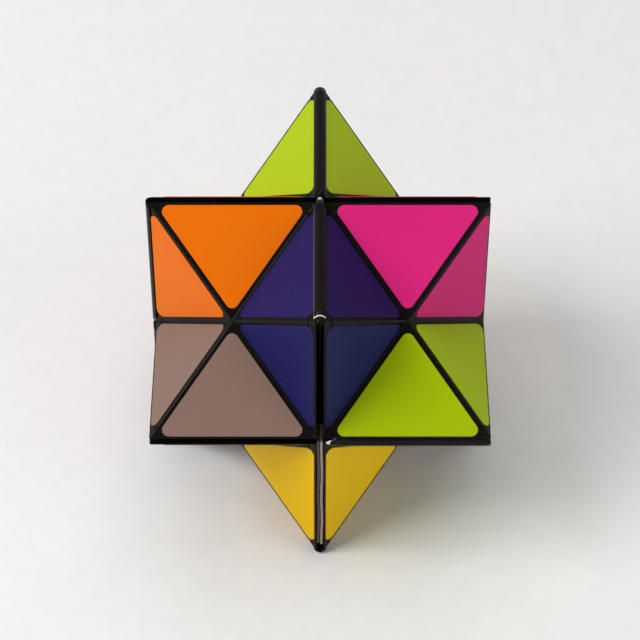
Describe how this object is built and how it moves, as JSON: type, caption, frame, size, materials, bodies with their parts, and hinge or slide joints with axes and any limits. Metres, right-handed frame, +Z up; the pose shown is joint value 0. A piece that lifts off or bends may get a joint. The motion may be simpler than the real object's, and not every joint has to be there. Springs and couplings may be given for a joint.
{
  "type": "folding star cube",
  "caption": "Folding star puzzle: half-cube pieces joined in a ring by film hinges, shown as a twelve-pointed star that unfolds into a hollow cube.",
  "frame": {"origin": "centre of the closed star, where the corners of the pieces meet", "axes": "+Z up along a four-ridge axis, +X to the right, +Y to the back"},
  "size_m": [0.0566, 0.0574, 0.0574],
  "materials": {
    "shell": "satin moulded black plastic",
    "film": "glossy black hinge film",
    "label_lime": "satin printed film",
    "label_orange": "satin printed film",
    "label_magenta": "satin printed film",
    "label_blue": "satin printed film",
    "label_grey": "satin printed film",
    "label_yellow": "satin printed film"
  },
  "bodies": {
    "upper_front_right": {"corner_ufr": "shell", "outer_ufr": "shell", "label_ufr_x": "label_blue", "label_ufr_y": "label_magenta", "label_ufr_z": "label_lime", "film_top_front": "film"},
    "lower_front_right": {"corner_lfr": "shell", "outer_lfr": "shell", "label_lfr_x": "label_yellow", "label_lfr_y": "label_grey", "label_lfr_z": "label_lime", "film_front_right": "film", "film_bottom_front": "film"},
    "lower_back_right": {"corner_lbr": "shell", "outer_lbr": "shell", "label_lbr_x": "label_orange", "label_lbr_y": "label_grey", "label_lbr_z": "label_yellow", "film_back_right": "film"},
    "upper_back_right": {"corner_ubr": "shell", "outer_ubr": "shell", "label_ubr_x": "label_lime", "label_ubr_y": "label_magenta", "label_ubr_z": "label_yellow"},
    "upper_back_left": {"corner_ubl": "shell", "outer_ubl": "shell", "label_ubl_x": "label_lime", "label_ubl_y": "label_orange", "label_ubl_z": "label_magenta", "film_top_back": "film"},
    "lower_back_left": {"corner_lbl": "shell", "outer_lbl": "shell", "label_lbl_x": "label_orange", "label_lbl_y": "label_blue", "label_lbl_z": "label_magenta", "film_bottom_back": "film"},
    "lower_front_left": {"corner_lfl": "shell", "outer_lfl": "shell", "label_lfl_x": "label_yellow", "label_lfl_y": "label_blue", "label_lfl_z": "label_grey", "film_left_lower": "film"},
    "upper_front_left": {"corner_ufl": "shell", "outer_ufl": "shell", "label_ufl_x": "label_blue", "label_ufl_y": "label_orange", "label_ufl_z": "label_grey", "film_left_upper": "film"}
  },
  "joints": [
    {"name": "front_right_fold", "type": "hinge", "parent": "lower_front_right", "child": "upper_front_right", "pos_m": [0, -0.0282, 0], "axis": [1, 0, 0], "range_deg": [0, 180], "deforming": ["film_front_right", "film_back_right"]},
    {"name": "top_front_fold", "type": "hinge", "parent": "upper_front_right", "child": "upper_front_left", "pos_m": [0, 0, 0.0282], "axis": [0, 1, 0], "range_deg": [0, 180], "deforming": ["film_top_front"]},
    {"name": "left_upper_fold", "type": "hinge", "parent": "upper_front_left", "child": "upper_back_left", "pos_m": [-0.0282, 0, 0], "axis": [0, 0, 1], "range_deg": [0, 180], "deforming": ["film_left_upper"]},
    {"name": "top_back_fold", "type": "hinge", "parent": "upper_back_left", "child": "upper_back_right", "pos_m": [0, 0, 0.0282], "axis": [0, -1, 0], "range_deg": [0, 180], "deforming": ["film_top_back"]},
    {"name": "bottom_front_fold", "type": "hinge", "parent": "lower_front_right", "child": "lower_front_left", "pos_m": [0, 0, -0.0282], "axis": [0, -1, 0], "range_deg": [0, 180], "deforming": ["film_bottom_front"]},
    {"name": "left_lower_fold", "type": "hinge", "parent": "lower_front_left", "child": "lower_back_left", "pos_m": [-0.0282, 0, 0], "axis": [0, 0, 1], "range_deg": [0, 180], "deforming": ["film_left_lower"]},
    {"name": "bottom_back_fold", "type": "hinge", "parent": "lower_back_left", "child": "lower_back_right", "pos_m": [0, 0, -0.0282], "axis": [0, 1, 0], "range_deg": [0, 180], "deforming": ["film_bottom_back"]}
  ],
  "couplings": [
    {"joint": "top_back_fold", "follows": "top_front_fold", "ratio": 1},
    {"joint": "left_lower_fold", "follows": "left_upper_fold", "ratio": 1},
    {"joint": "bottom_back_fold", "follows": "bottom_front_fold", "ratio": 1}
  ]
}
